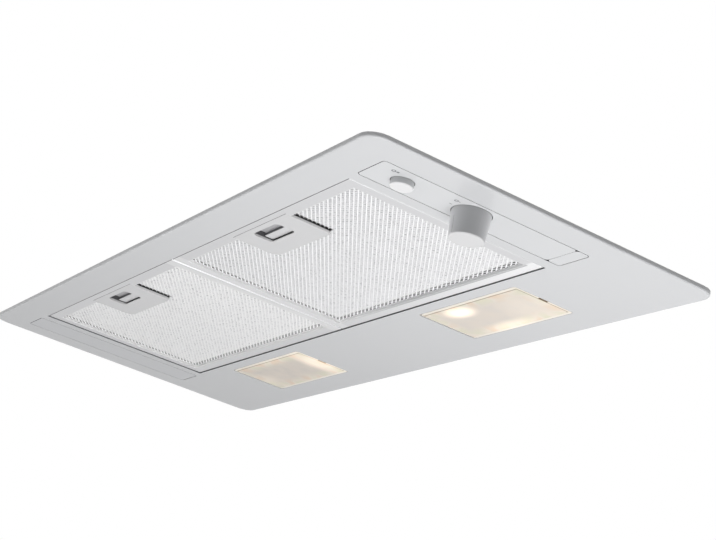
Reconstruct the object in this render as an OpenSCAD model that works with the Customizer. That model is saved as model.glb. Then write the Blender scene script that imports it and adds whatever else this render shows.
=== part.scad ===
// Built-in range hood: a flush metal panel with two grease filters, two lamps
// and a control strip, and above it the casing, blower and duct collar that
// stand inside the kitchen cabinet. Millimetres, +Z up, +X to the controls,
// -Y to the cook. The origin is the middle of the flange's upper face.

/* [Panel] */
// Length of the flange
panel_w = 714; // [711:1:730]
// Depth of the flange
panel_d = 292; // [289:1:300]
// Height of the flange's folded rim
panel_rim = 3.5; // [3.4:0.1:4]
// Radius of the flange's corners
corner_r = 14; // [12:1:20]
// Thickness of the panel's sheet metal
sheet_t = 1; // [0.8:0.1:1.1]
// Width of the rim's inner return, which seats under the cabinet
seat_w = 10; // [8:1:11]
// Sideways place of the openings and strips from the flange's middle
layout_x = 0; // [-3:1:3]

/* [Filters] */
// Length of the opening that both filters share
opening_w = 566; // [560:1:568]
// Depth of the opening
opening_d = 167; // [164:1:168]
// Distance from the flange's front edge to the opening
opening_front = 29.5; // [29:0.5:31]
// Height of a filter
filter_h = 8; // [7.8:0.1:9]
// Width of a filter's frame
frame_w = 10.5; // [9.5:0.5:11]
// Thickness of a filter's folded sheet
frame_t = 0.8; // [0.7:0.1:0.9]
// Depth of the mesh behind the frame's face
mesh_depth = 2.5; // [2.3:0.1:2.6]
// Length of a handle plate
handle_w = 84; // [80:1:88]
// Depth of a handle plate
handle_d = 39.5; // [39:0.5:41]
// Length of the finger pocket in a handle plate
pocket_w = 38; // [34:1:40]
// Depth of the finger pocket
pocket_d = 17; // [16:0.5:18]

/* [Controls] */
// Width of the control strip
strip_w = 34; // [33:0.5:35]
// Length of the control strip
strip_l = 170; // [169:0.5:171]
// Metal between the opening and the control strip
strip_gap = 12.5; // [12:0.5:13]
// Length of the strip's separate end piece
strip_end_l = 10.6; // [9:0.1:12]
// Diameter of the speed knob at its root
knob_d = 28; // [26:0.5:29]
// Diameter of the speed knob at its free end
knob_end_d = 25; // [22:0.5:25.5]
// Height of the speed knob below the panel
knob_h = 19.5; // [16:0.5:22]
// Place of the knob behind the strip's front end
knob_place = 81.5; // [80:0.5:82]
// Diameter of the light button
button_d = 16; // [14:0.5:17]
// Height of the light button below the panel
button_h = 4.6; // [4:0.1:6]
// Place of the button behind the strip's front end
button_place = 25.1; // [24:0.1:27]

/* [Lamps] */
// Length of a lamp window
lens_w = 130; // [128:1:131]
// Depth of a lamp window
lens_d = 56.5; // [56:0.5:57]
// Distance from the filters' seam to a lamp window's middle
lamp_off = 166.5; // [165:0.5:168]
// Distance from the opening to the lamp windows
lamp_gap = 11; // [11:0.5:12]
// Height of a lamp housing
lamp_h = 50; // [48:1:56]
// Radius of a lamp bulb
bulb_r = 17.5; // [16:0.5:18]

/* [Casing] */
// Length of the lower casing
case_w = 688; // [684:1:690]
// Depth of the lower casing
case_d = 258; // [257:1:260]
// Height of the lower casing above the seat
case_h = 80; // [74:1:90]
// Length of the motor box
box_w = 376; // [370:1:390]
// Depth of the motor box
box_d = 236; // [234:1:236]
// Height of the motor box
box_h = 155; // [154:1:165]
// Distance between the two cabinet screw holes of a long wall
screw_spacing = 560; // [540:5:580]
// Diameter of a cabinet screw hole
screw_hole_d = 5.2; // [4.4:0.1:6]

/* [Blower] */
// Radius of the fan wheel
wheel_r = 60; // [58:0.5:60.5]
// Length of the fan wheel
wheel_w = 128; // [120:1:130]
// Number of blades in the fan wheel
blade_count = 36; // [30:1:40]
// Growth of the scroll in each quarter turn
scroll_step = 5; // [4:0.5:5.5]
// Length of the scroll between its side plates
scroll_w = 140; // [138:1:146]
// Radius of the motor
motor_r = 36; // [34:0.5:38]

/* [Duct] */
// Outer diameter of the duct collar
duct_d = 150; // [146:1:154]
// Height of the duct collar
duct_h = 40; // [38:1:50]

/* [Hidden] */
$fn = 96;

// Heights of the panel's faces, below the seat at zero
panel_z = -panel_rim;
panel_in_z = panel_z + sheet_t;
corner_edge_r = 1.4;
fit = 0.4;
seam = 0.3;

// How far a cutter passes the surface that it cuts
cut = 1;

// Opening and filters
open_y0 = -panel_d / 2 + opening_front;
open_y1 = open_y0 + opening_d;
filter_gap = 1;
filter_play = 0.4;
filter_recess = 0.5;
filter_w = opening_w / 2 - filter_gap - seam;
filter_d = opening_d - 2 * filter_play;
filter_off = seam + filter_w / 2;
left_filter_x = layout_x - filter_off;
right_filter_x = layout_x + filter_off;
filter_y = (open_y0 + open_y1) / 2;
filter_z = panel_z + filter_recess;
filter_top = filter_z + filter_h;
frame_edge_r = 1.2;
frame_lip = 6;
mesh_z = filter_z + mesh_depth;
mesh_t = 0.3;
mesh_cols = 14;
mesh_rows = 10;
mesh_open = 0.82;
mesh_edge = 1;
hook_w = 16;
hook_reach = 4.5;
hook_t = 1;
hook_x = [-104, 104];
hook_lift = 0.1;

// Handle plate and latch
plate_t = 2;
plate_inset = 6;
plate_gap = 2;
plate_wall = 1.2;
plate_y0 = filter_y - filter_d / 2 + plate_inset;
pocket_x = -1;
pocket_in = 5.6;
pocket_y0 = plate_y0 + pocket_in;
pocket_r = 4;
latch_w = 36;
latch_bar = 7.2;
latch_travel = 5;
latch_t = 1.6;
latch_lap = 3.5;
latch_room = 1;
latch_z = panel_in_z + 2 * seam;
latch_tongue_w = 22;
latch_roof_z = filter_top - frame_t - latch_t - 2 * seam;
guide_w = latch_w + 4 * seam;
guide_wall = 1.2;

// Controls
strip_off = opening_w / 2 + strip_gap + strip_w / 2;
control_x = layout_x + strip_off;
blank_x = layout_x - strip_off;
strip_y0 = open_y0 - 1;
strip_y1 = strip_y0 + strip_l;
strip_r = 3;
strip_flange = 3;
strip_fit = 0.6;
strip_t = 1.5;
strip_top = panel_in_z + strip_t;
knob_y = strip_y0 + knob_place;
knob_gap = 0.5;
knob_top = 2;
knob_edge = 1;
button_y = strip_y0 + button_place;
button_gap = 0.5;
button_top = 3;
button_travel = 2.5;
shaft_r = 3;
shaft_fit = 0.06;
shaft_grip = 14;
shaft_in = 6;
knob_hollow = 10;
knob_wall = 3;
wire_tab = [0.8, 6, 6];
control_box_w = 32;
control_box_y0 = strip_y0 + 6;
control_box_l = 112;
control_box_h = 40;
control_wall = 1.2;
switch_w = 26;
switch_z = 12;
switch_h = 18;
light_switch_w = 20;
light_switch_z = button_top + button_travel + 3.5;
light_switch_h = 16;
stem_r = 2.4;
stem_in = 3;

// Lamps
left_lamp_x = layout_x - lamp_off;
right_lamp_x = layout_x + lamp_off;
lamp_y = open_y1 + lamp_gap + lens_d / 2;
lamp_flange = 4;
lamp_wall = 0.8;
lamp_room = 2;
lamp_r = 3.2;
lens_t = 1.6;
lens_hinge_in = 2.6;
lens_hinge_r = 2;
lens_hinge_relief = 0.9;
lens_pin_r = 0.75;
lens_pin_l = 1.5;
lens_pin_fit = 0.05;
lens_skirt_h = 5.6;
lens_skirt_t = 1.2;
lens_hinge_z = panel_z + lens_hinge_r;
notch_w = 9;
notch_d = 2.4;
bulb_z = 24;
bulb_l = 66;
holder_l = 26;
holder_r = 13;
cap_r = 7;

// Casing
case_t = 1;
case_top = case_h;
tab_w = 22;
tab_d = 9;
tab_t = 1;
front_tabs = [-250, 0, 250];
back_tabs = [-290, 0, 290];
box_t = 1;
box_z = case_top;
box_top = box_z + box_h;
box_flange = 9;
screw_z = 30;
rib_t = 1.2;
rib_r = 5;
box_rib_margin = 9;
case_rib_l = 180;
case_rib_down = 20;
nut_r = 4;
nut_h = 3.2;
stud_r = 2;
stud_tip = 1;
stud_fit = 0.2;
box_screw_head_r = 3.6;
box_screw_l = 6;

// Blower, whose shaft lies along X
fan_y = -42;
fan_z = box_top - 85;
wheel_gap = 4;
scroll_r = wheel_r + wheel_gap;
scroll_t = 1.5;
tongue_y = 30;
inlet_r = 46;
inlet_lip = 8;
blade_depth = 10;
blade_t = 0.8;
blade_bow = 7;
ring_t = 1.5;
ring_over = 0.4;
disc_t = 2;
hub_r = 12;
hub_l = 14;
fan_shaft_r = 4;
fan_fit = 0.05;
motor_x0 = 12;
motor_l = 58;
shaft_out = 2;
shaft_end = 5;
bracket_t = 2;
cap_x = -170;
cap_y = 60;
cap_body_r = 13;
cap_body_l = 52;

// Duct collar and its two flaps
duct_r = duct_d / 2;
duct_t = 1.5;
duct_y = 15;
duct_flange = 9;
flap_z = box_top + 15;
flap_off = 4;
flap_t = 1;
flap_r = duct_r - duct_t - 2.5;
flap_pin_r = 1.5;
flap_pin_fit = 0.06;
flap_barrel_r = 2.5;
stop_w = 4.5;
stop_h = 2;
flap_pin_in = 2;
boss_r = 3.5;
boss_l = 7;
collar_screw_r = 1.5;
collar_screw_ring = duct_r + duct_flange / 2 + 0.5;

// Terminal box on top of the motor box
term_x = 135;
term_y = -62;
term_w = 64;
term_d = 42;
term_h = 22;
term_wall = 1.6;
term_r = 4;
term_in = 5;
term_screw_r = 1.4;
term_screw_l = 12;
gland_r = 8;
gland_l = 14;
gland_hex_l = 5;
gland_thread = 2;
nut_t = 3;
cable_r = 4;

// Rectangle with rounded corners, in the plane
module rounded_rect(w, d, r) {
    square([w - 2 * r, d], center = true);
    square([w, d - 2 * r], center = true);
    for (x = [-1, 1], y = [-1, 1])
        translate([x * (w / 2 - r), y * (d / 2 - r)]) circle(r);
}

// Upright plate with rounded corners, from z0 up
module rounded_plate(w, d, r, z0, h) {
    translate([0, 0, z0]) linear_extrude(h) rounded_rect(w, d, r);
}

// Carries a profile round a rounded rectangle. The profile's x runs inward
// from the outer edge and its y runs up.
module swept_ring(w, d, r) {
    for (side = [[0, w, d], [90, d, w], [180, w, d], [270, d, w]])
        rotate([0, 0, side[0]])
            translate([-(side[1] / 2 - r), -side[2] / 2, 0])
                rotate([90, 0, 90]) linear_extrude(side[1] - 2 * r) children();
    for (q = [[0, 1, 1], [90, -1, 1], [180, -1, -1], [270, 1, -1]])
        translate([q[1] * (w / 2 - r), q[2] * (d / 2 - r), 0])
            rotate([0, 0, q[0]])
                rotate_extrude(angle = 90) translate([r, 0]) mirror([1, 0]) children();
}

// Carries a profile round a rectangle with mitred corners
module mitred_ring(w, d) {
    for (side = [[0, w, d], [90, d, w], [180, w, d], [270, d, w]])
        rotate([0, 0, side[0]])
            intersection() {
                translate([-side[1] / 2, -side[2] / 2, 0])
                    rotate([90, 0, 90]) linear_extrude(side[1]) children();
                translate([0, -side[2] / 2, filter_z - 1]) linear_extrude(filter_h + 2)
                    polygon([
                        [-side[1] / 2, 0], [side[1] / 2, 0],
                        [side[1] / 2 - side[2] / 4, side[2] / 4], [-side[1] / 2 + side[2] / 4, side[2] / 4]
                    ]);
            }
}

// Block from its lowest corner to its highest corner
module block(low, high) {
    translate(low) cube(high - low);
}

// Row of flat-headed screws, each at its own point, with the shank going down
module screws(points, head_r, head_h, shank_r, shank_l) {
    for (p = points)
        translate(p) {
            cylinder(r = head_r, h = head_h);
            translate([0, 0, -shank_l]) cylinder(r = shank_r, h = shank_l + head_h / 2);
        }
}

// Folded edge of the panel: face, rim and the return that seats on the cabinet
module rim_profile() {
    difference() {
        union() {
            translate([corner_edge_r, panel_z]) square([seat_w - corner_edge_r, sheet_t]);
            translate([0, panel_z + corner_edge_r]) square([sheet_t, panel_rim - corner_edge_r]);
            translate([corner_edge_r, panel_z + corner_edge_r]) circle(corner_edge_r);
            translate([0, -sheet_t]) square([seat_w, sheet_t]);
        }
        translate([sheet_t, panel_in_z]) square([seat_w, panel_rim - 2 * sheet_t]);
    }
}

module bottom_panel() {
    color("silver") difference() {
        union() {
            rounded_plate(panel_w - seat_w, panel_d - seat_w, corner_r - seat_w / 2, panel_z, sheet_t);
            swept_ring(panel_w, panel_d, corner_r) rim_profile();
            for (p = panel_studs())
                translate([p[0], p[1], panel_in_z]) cylinder(r = stud_r, h = tab_t + nut_h + stud_tip);
        }
        block([layout_x - opening_w / 2, open_y0, panel_z - cut], [layout_x + opening_w / 2, open_y1, 0]);
        for (x = [blank_x, control_x])
            translate([x, (strip_y0 + strip_y1) / 2, 0]) rounded_plate(
                strip_w + 2 * strip_fit, strip_l + 2 * strip_fit,
                strip_r + strip_fit, panel_z - cut, sheet_t + 2 * cut
            );
        for (x = [left_lamp_x, right_lamp_x])
            translate([x, lamp_y, 0]) rounded_plate(lens_w, lens_d, strip_r, panel_z - cut, sheet_t + 2 * cut);
    }
}

// Places of the welded studs that hold the casing on the panel
function panel_studs() = concat(
    [for (x = front_tabs) [x, -case_d / 2 + case_t + tab_d / 2]],
    [for (x = back_tabs) [x, case_d / 2 - case_t - tab_d / 2]]
);

module lower_frame() {
    color("lightsteelblue") difference() {
        union() {
            difference() {
                block([-case_w / 2, -case_d / 2, panel_in_z], [case_w / 2, case_d / 2, case_top]);
                block(
                    [-case_w / 2 + case_t, -case_d / 2 + case_t, panel_in_z - cut],
                    [case_w / 2 - case_t, case_d / 2 - case_t, case_top - case_t]
                );
            }
            for (p = panel_studs())
                translate([p[0] - tab_w / 2, p[1] - tab_d / 2 - case_t / 2, panel_in_z])
                    cube([tab_w, tab_d + case_t, tab_t]);
            wall_ribs(case_d, [-case_w / 6, case_w / 6], case_rib_l, 2 * rib_r + 2, case_top - case_rib_down);
        }
        block([-box_w / 2 + box_t, -box_d / 2 + box_t, 0], [box_w / 2 - box_t, box_d / 2 - box_t, case_top + cut]);
        for (x = [-screw_spacing / 2, screw_spacing / 2])
            translate([x, 0, screw_z]) rotate([90, 0, 0]) cylinder(d = screw_hole_d, h = case_d + 2 * cut, center = true);
        for (p = panel_studs())
            translate([p[0], p[1], panel_in_z - cut]) cylinder(r = stud_r + stud_fit, h = tab_t + 2 * cut);
        for (p = box_screw_points())
            translate([p[0], p[1], case_top - case_t - cut]) cylinder(r = stud_r, h = case_t + 2 * cut);
    }
}

module panel_nuts() {
    color("dimgray") for (p = panel_studs())
        translate([p[0], p[1], panel_in_z + tab_t]) difference() {
            cylinder(r = nut_r, h = nut_h, $fn = 6);
            translate([0, 0, -cut]) cylinder(r = stud_r, h = nut_h + 2 * cut);
        }
}

// Places of the screws round the motor box's flange
function box_screw_points() = [
    for (x = [-1, 1], y = [-box_d / 3, 0, box_d / 3]) [x * (box_w / 2 + box_flange / 2), y, box_z + box_t]
];

// Row of pressed ribs on both long walls of a box, standing proud by rib_t.
// Each rib is w wide and h high, round its middle height z.
module wall_ribs(depth, xs, w, h, z) {
    for (side = [0, 180], x = xs)
        rotate([0, 0, side]) translate([x, -depth / 2, z]) rotate([90, 0, 0])
            rounded_plate(w, h, rib_r, -box_t / 2, rib_t + box_t / 2);
}

module motor_box() {
    color("lightgray") difference() {
        union() {
            block([-box_w / 2, -box_d / 2, box_z], [box_w / 2, box_d / 2, box_top]);
            wall_ribs(box_d, [-box_w / 3, 0, box_w / 3], 2 * rib_r + 2, box_h - 4 * box_rib_margin, box_z + box_h / 2);
            block(
                [-box_w / 2 - box_flange, -box_d / 2, box_z],
                [box_w / 2 + box_flange, box_d / 2, box_z + box_t]
            );
        }
        block(
            [-box_w / 2 + box_t, -box_d / 2 + box_t, box_z - cut],
            [box_w / 2 - box_t, box_d / 2 - box_t, box_top - box_t]
        );
        block(
            [-scroll_w / 2 + scroll_t, fan_y + tongue_y, box_top - 2 * box_t],
            [scroll_w / 2 - scroll_t, scroll_out_y(), box_top + cut]
        );
        for (p = box_screw_points())
            translate([p[0], p[1], box_z - cut]) cylinder(r = stud_r, h = box_t + 2 * cut);
        for (p = collar_points())
            translate([p[0], p[1], box_top - box_t - cut]) cylinder(r = collar_screw_r, h = box_t + 2 * cut);
    }
}

module box_screws() {
    color("gray") screws(box_screw_points(), box_screw_head_r, 2, stud_r, box_screw_l);
}

// Spring clips on the casing's short walls, which hold the hood in the cut-out
// while its screws go in
module cabinet_clips() {
    clip_w = 26;
    clip_h = 46;
    clip_t = 0.8;
    clip_z = 8;
    knee = [5, 12];
    crest = [7, 22];
    root_h = 4;
    color("silver") for (s = [-1, 1])
        scale([s, 1, 1]) translate([case_w / 2, clip_w / 2, clip_z]) rotate([90, 0, 0])
            linear_extrude(clip_w) difference() {
                polygon([[0, 0], [clip_t, 0], knee, crest, [clip_t, clip_h], [0, clip_h]]);
                polygon([
                    [0, root_h], [knee[0] - clip_t, knee[1] + 2 * clip_t],
                    [crest[0] - clip_t, crest[1]], [0, clip_h - root_h]
                ]);
            }
}

// Strip in the panel: a face flush with the metal and a wider back above it
module strip_piece(y0, y1) {
    translate([0, (y0 + y1) / 2, 0]) rounded_plate(strip_w, y1 - y0, strip_r, panel_z, sheet_t);
}

module strip_back(y0, y1) {
    block(
        [-strip_w / 2 - strip_flange, y0, panel_in_z],
        [strip_w / 2 + strip_flange, y1, strip_top]
    );
}

module control_strip() {
    seam_y = strip_y1 - strip_end_l - seam;
    color("silver") translate([control_x, 0, 0]) difference() {
        union() {
            strip_piece(strip_y0, seam_y);
            strip_back(strip_y0 - strip_flange, seam_y);
        }
        translate([0, knob_y, panel_z - cut]) cylinder(d = knob_d + 2 * knob_gap, h = strip_top - panel_z + 2 * cut);
        translate([0, button_y, panel_z - cut]) cylinder(d = button_d + 2 * button_gap, h = strip_top - panel_z + 2 * cut);
    }
}

module control_strip_end() {
    color("silver") translate([control_x, 0, 0]) {
        strip_piece(strip_y1 - strip_end_l, strip_y1);
        strip_back(strip_y1 - strip_end_l, strip_y1 + strip_flange);
    }
}

module blank_strip() {
    color("silver") translate([blank_x, 0, 0]) {
        strip_piece(strip_y0, strip_y1);
        strip_back(strip_y0 - strip_flange, strip_y1 + strip_flange);
    }
}

module control_box() {
    top = strip_top + control_box_h;
    wire_w = 8;
    color("whitesmoke") translate([control_x, 0, 0]) difference() {
        block(
            [-control_box_w / 2, control_box_y0, strip_top],
            [control_box_w / 2, control_box_y0 + control_box_l, top]
        );
        block(
            [-control_box_w / 2 + control_wall, control_box_y0 + control_wall, strip_top - cut],
            [control_box_w / 2 - control_wall, control_box_y0 + control_box_l - control_wall, top - control_wall]
        );
        translate([-wire_w / 2, control_box_y0 + control_box_l - control_wall - cut, top - 1.5 * wire_w])
            cube([wire_w, control_wall + 2 * cut, wire_w]);
    }
}

// Row of flat tabs for wires on the top of a switch
module wire_tabs(xs, z) {
    for (x = xs)
        translate([x - wire_tab[0] / 2, -wire_tab[1] / 2, z]) cube(wire_tab);
}

module rotary_switch() {
    collar_h = 5;
    rail = 4;
    color("ivory") translate([control_x, knob_y, 0]) difference() {
        union() {
            translate([0, 0, switch_z]) rounded_plate(switch_w, switch_w, 3, 0, switch_h);
            translate([0, 0, switch_z - collar_h]) cylinder(r = shaft_r + 2, h = collar_h + cut);
            block(
                [-control_box_w / 2 + control_wall, -rail, switch_z + rail / 2],
                [control_box_w / 2 - control_wall, rail, switch_z + rail * 5 / 4]
            );
            wire_tabs([-switch_w * 0.3, 0, switch_w * 0.3], switch_z + switch_h);
        }
        translate([0, 0, switch_z - collar_h - cut])
            cylinder(r = shaft_r + shaft_fit, h = shaft_in + collar_h + cut + 2);
    }
}

module knob_shaft() {
    color("gainsboro") translate([control_x, knob_y, knob_top - shaft_grip])
        cylinder(r = shaft_r, h = shaft_grip + switch_z - knob_top + shaft_in);
}

module speed_knob() {
    base = panel_z - knob_h;
    color("gray") translate([control_x, knob_y, 0]) difference() {
        rotate_extrude() difference() {
            union() {
                polygon([
                    [0, base + knob_edge], [knob_end_d / 2, base + knob_edge],
                    [knob_d / 2, panel_z], [knob_d / 2, knob_top], [0, knob_top]
                ]);
                translate([0, base]) square([knob_end_d / 2 - knob_edge, knob_edge + cut]);
                translate([knob_end_d / 2 - knob_edge, base + knob_edge]) circle(knob_edge);
            }
            translate([-knob_d, base - cut]) square([knob_d, knob_h * 2]);
        }
        translate([0, 0, knob_top - shaft_grip]) cylinder(r = shaft_r, h = shaft_grip + cut);
        difference() {
            translate([0, 0, knob_top - knob_hollow]) cylinder(r = knob_d / 2 - knob_wall, h = knob_hollow + cut);
            cylinder(r = shaft_r + 2, h = 2 * knob_h, center = true);
        }
    }
}

module light_switch() {
    rail = 3;
    color("ivory") translate([control_x, button_y, 0]) difference() {
        union() {
            translate([0, 0, light_switch_z]) rounded_plate(light_switch_w, light_switch_w, 2, 0, light_switch_h);
            block(
                [-control_box_w / 2 + control_wall, -rail, light_switch_z + rail],
                [control_box_w / 2 - control_wall, rail, light_switch_z + 2 * rail]
            );
            wire_tabs([-light_switch_w / 4, light_switch_w / 4], light_switch_z + light_switch_h);
        }
        translate([0, 0, light_switch_z - cut])
            cylinder(r = stem_r + shaft_fit, h = stem_in + button_travel + 2 * cut);
    }
}

module light_button() {
    base = panel_z - button_h;
    color("gray") translate([control_x, button_y, 0]) {
        rotate_extrude() difference() {
            union() {
                translate([0, base + knob_edge]) square([button_d / 2, button_top - base - knob_edge]);
                translate([0, base]) square([button_d / 2 - knob_edge, knob_edge + cut]);
                translate([button_d / 2 - knob_edge, base + knob_edge]) circle(knob_edge);
            }
            translate([-button_d, base - cut]) square([button_d, button_d]);
        }
        translate([0, 0, button_top - cut]) cylinder(r = stem_r, h = light_switch_z - button_top + cut + stem_in);
    }
}

// Folded section of a filter's frame: wall, face, inner upturn and top lip
module frame_profile() {
    difference() {
        union() {
            translate([0, filter_z + frame_edge_r]) square([frame_w, filter_h - frame_edge_r]);
            translate([frame_edge_r, filter_z]) square([frame_w - frame_edge_r, frame_edge_r]);
            translate([frame_edge_r, filter_z + frame_edge_r]) circle(frame_edge_r);
        }
        translate([frame_t, filter_z + frame_edge_r])
            square([frame_w - 2 * frame_t, filter_h - frame_edge_r - frame_t]);
        translate([frame_edge_r, filter_z + frame_t])
            square([frame_w - frame_edge_r - frame_t, frame_edge_r]);
        translate([frame_edge_r, filter_z + frame_edge_r]) circle(frame_edge_r - frame_t);
        translate([frame_w - 2 * frame_t, mesh_z]) square([frame_w, filter_top - frame_t - mesh_z]);
        translate([frame_lip, mesh_z]) square([frame_w, filter_h]);
    }
}

// Space that a handle plate and its gap take out of the mesh, in plan
module handle_cut(grow) {
    x0 = -handle_w / 2 - grow;
    translate([x0, plate_y0 - filter_y - plate_inset - cut])
        square([handle_w + plate_gap + 2 * grow, handle_d + plate_inset + cut + grow]);
}

module filter_frame(x) {
    color("gainsboro") translate([x, filter_y, 0]) difference() {
        union() {
            mitred_ring(filter_w, filter_d) frame_profile();
            for (h = hook_x)
                block(
                    [h - hook_w / 2, filter_d / 2 - frame_t, panel_in_z + hook_lift],
                    [h + hook_w / 2, filter_d / 2 + hook_reach, panel_in_z + hook_lift + hook_t]
                );
        }
        block(
            [-handle_w / 2, plate_y0 - filter_y, filter_z - cut],
            [handle_w / 2, plate_y0 - filter_y + frame_w, mesh_z + mesh_t]
        );
        block(
            [-latch_tongue_w / 2 - seam + pocket_x, -filter_d / 2 - cut, latch_z - seam],
            [latch_tongue_w / 2 + seam + pocket_x, -filter_d / 2 + frame_edge_r, latch_z + latch_t + seam]
        );
        block(
            [-guide_w / 2 - guide_wall + pocket_x, -filter_d / 2 + frame_t, mesh_z],
            [guide_w / 2 + guide_wall + pocket_x, -filter_d / 2 + frame_w, filter_top + cut]
        );
    }
}

module filter_frame_left() {
    filter_frame(left_filter_x);
}

module filter_frame_right() {
    filter_frame(right_filter_x);
}

// Stretched mesh of a filter's face: a thin sheet with rows of diamond gaps
module filter_mesh(x) {
    in_w = filter_w - 2 * frame_t;
    in_d = filter_d - 2 * frame_t;
    see_w = filter_w - 2 * frame_w - 2 * mesh_edge;
    see_d = filter_d - 2 * frame_w - 2 * mesh_edge;
    pitch_x = see_w / mesh_cols;
    pitch_y = see_d / mesh_rows;
    color("white") translate([x, filter_y, mesh_z]) linear_extrude(mesh_t) difference() {
        square([in_w, in_d], center = true);
        handle_cut(0);
        for (row = [0 : mesh_rows - 1], col = [0 : mesh_cols - 1 - row % 2]) {
            gx = -see_w / 2 + pitch_x * (col + 0.5 + (row % 2) / 2);
            gy = -see_d / 2 + pitch_y * (row + 0.5);
            behind = plate_y0 - filter_y + handle_d + pitch_y / 2;
            beside = handle_w / 2 + pitch_x / 2 + plate_gap;
            if (!(gy < behind && abs(gx) < beside))
                translate([gx, gy]) scale([pitch_x * mesh_open, pitch_y * mesh_open])
                    polygon([[-0.5, 0], [0, -0.5], [0.5, 0], [0, 0.5]]);
        }
    }
}

module filter_mesh_left() {
    filter_mesh(left_filter_x);
}

module filter_mesh_right() {
    filter_mesh(right_filter_x);
}

// Pack of aluminium net layers between the mesh and the frame's top lip
module filter_core(x) {
    core_z = mesh_z + mesh_t;
    in_w = filter_w - 2 * frame_t;
    in_d = filter_d - 2 * frame_t;
    color("darkgray") translate([x, filter_y, core_z]) linear_extrude(filter_top - frame_t - core_z)
        difference() {
            square([in_w, in_d], center = true);
            handle_cut(0);
        }
}

module filter_core_left() {
    filter_core(left_filter_x);
}

module filter_core_right() {
    filter_core(right_filter_x);
}

// Face of a handle plate in plan, with its two free corners rounded
module handle_outline(grow) {
    small_r = handle_w / 21;
    big_r = 2 * small_r;
    x0 = -handle_w / 2 - grow;
    x1 = handle_w / 2 + grow;
    y1 = handle_d + grow;
    translate([x0, -grow]) square([x1 - x0, y1 + grow - big_r]);
    translate([x0 + big_r, y1 - big_r]) square([x1 - x0 - big_r - small_r, big_r]);
    translate([x1 - small_r, y1 - big_r]) square([small_r, big_r - small_r]);
    translate([x0 + big_r, y1 - big_r]) circle(big_r);
    translate([x1 - small_r, y1 - small_r]) circle(small_r);
}

// Handle plate: a face flush with the frame, a skirt behind it, and the guide
// that the latch slides in
module handle_plate(x) {
    roof = filter_top - frame_t;
    back = latch_back_y();
    color("lightgray") translate([x, 0, 0]) difference() {
        union() {
            translate([0, plate_y0, filter_z]) linear_extrude(plate_t) handle_outline(0);
            translate([0, plate_y0, filter_z + plate_t]) linear_extrude(roof - filter_z - plate_t) difference() {
                handle_outline(0);
                handle_outline(-plate_wall);
            }
            block(
                [pocket_x - guide_w / 2 - guide_wall, plate_y0, filter_z + plate_t],
                [pocket_x + guide_w / 2 + guide_wall, back + guide_wall, roof]
            );
        }
        translate([pocket_x, pocket_y0 + pocket_d / 2, filter_z - cut])
            linear_extrude(plate_t + 2 * cut) rounded_rect(pocket_w, pocket_d, pocket_r);
        block(
            [pocket_x - guide_w / 2, plate_y0 - cut, latch_z - seam],
            [pocket_x + guide_w / 2, back, roof + cut]
        );
    }
}

// Back end of the guide, behind the latch at the end of its travel
function latch_back_y() = pocket_y0 + pocket_d + latch_travel + latch_room;

module handle_plate_left() {
    handle_plate(left_filter_x);
}

module handle_plate_right() {
    handle_plate(right_filter_x);
}

// Sliding latch: a finger bar, a roof plate above the finger, and a tongue
// that lies over the panel's front edge
module latch(x) {
    bar_y1 = pocket_y0 + pocket_d;
    front = plate_y0 + 2 * seam;
    color("silver") translate([x + pocket_x, 0, 0]) {
        block(
            [-latch_w / 2, bar_y1 - latch_bar, filter_z + plate_t + seam],
            [latch_w / 2, bar_y1, latch_roof_z + latch_t]
        );
        block([-latch_w / 2, front, latch_roof_z], [latch_w / 2, bar_y1, latch_roof_z + latch_t]);
        block([-latch_tongue_w / 2, front, latch_z], [latch_tongue_w / 2, front + latch_t, latch_roof_z + latch_t]);
        block(
            [-latch_tongue_w / 2, open_y0 - latch_lap, latch_z],
            [latch_tongue_w / 2, front + latch_t, latch_z + latch_t]
        );
    }
}

module latch_left() {
    latch(left_filter_x);
}

module latch_right() {
    latch(right_filter_x);
}

// Lamp housing: a tray over the window, with sockets for the lens's pins
module lamp_housing(x) {
    room_w = lens_w + 2 * lamp_room;
    room_d = lens_d + 2 * lamp_room;
    pin_x = -lens_w / 2 + lens_hinge_in;
    ear = 3;
    ear_gap = 0.1;
    color("whitesmoke") translate([x, lamp_y, 0]) difference() {
        union() {
            rounded_plate(room_w + 2 * lamp_wall, room_d + 2 * lamp_wall, lamp_r + lamp_wall, panel_in_z, lamp_h);
            block(
                [-room_w / 2 - lamp_flange, -room_d / 2 - lamp_flange, panel_in_z],
                [room_w / 2 + lamp_flange, room_d / 2 + lamp_flange, panel_in_z + lamp_wall]
            );
        }
        difference() {
            rounded_plate(room_w, room_d, lamp_r, panel_in_z - cut, lamp_h + cut - lamp_wall);
            for (s = [-1, 1])
                scale([1, s, 1]) block(
                    [pin_x - ear, lens_d / 2 + ear_gap, panel_in_z],
                    [pin_x + ear, room_d / 2 + ear_gap, lens_hinge_z + ear]
                );
        }
        translate([pin_x, 0, lens_hinge_z]) rotate([90, 0, 0])
            cylinder(r = lens_pin_r + lens_pin_fit, h = room_d - 4 * ear_gap, center = true);
    }
}

module lamp_housing_left() {
    lamp_housing(left_lamp_x);
}

module lamp_housing_right() {
    lamp_housing(right_lamp_x);
}

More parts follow.
